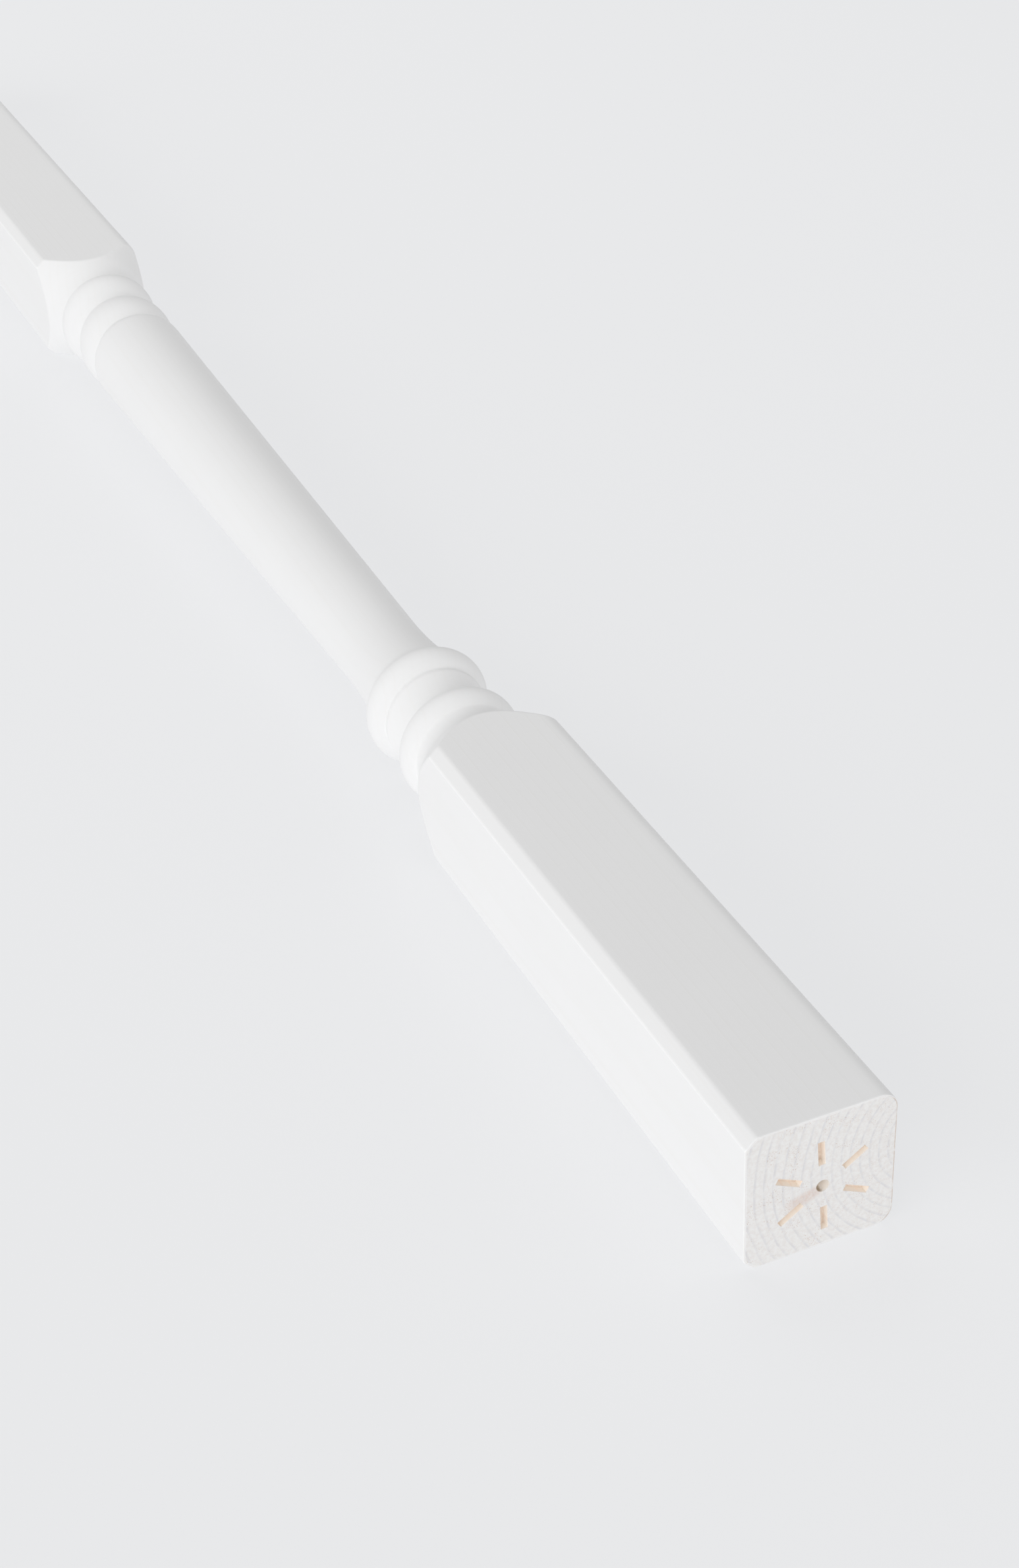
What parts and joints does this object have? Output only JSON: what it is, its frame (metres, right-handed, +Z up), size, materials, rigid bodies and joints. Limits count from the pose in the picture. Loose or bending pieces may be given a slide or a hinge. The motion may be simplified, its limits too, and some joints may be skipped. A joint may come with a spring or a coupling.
{
  "type": "turned stair baluster",
  "caption": "Turned wooden stair baluster in white primer: square block ends with eased edges, rounded beads below each block and a slim tapering shaft.",
  "frame": {"origin": "middle of the length, in the plane of the two block faces that it lies on, centred across its width", "axes": "+X along the turning axis from the top end to the bottom end; +Z up from the faces it lies on; the two chamfered edges are at +Y and the two rounded ones at -Y"},
  "size_m": [0.9, 0.041, 0.041],
  "materials": {
    "primed_wood": "white primer on planed and turned softwood, satin; the ends thinly coated, with bare wood in the lathe marks"
  },
  "bodies": {
    "root": {"baluster": "primed_wood"}
  },
  "joints": []
}
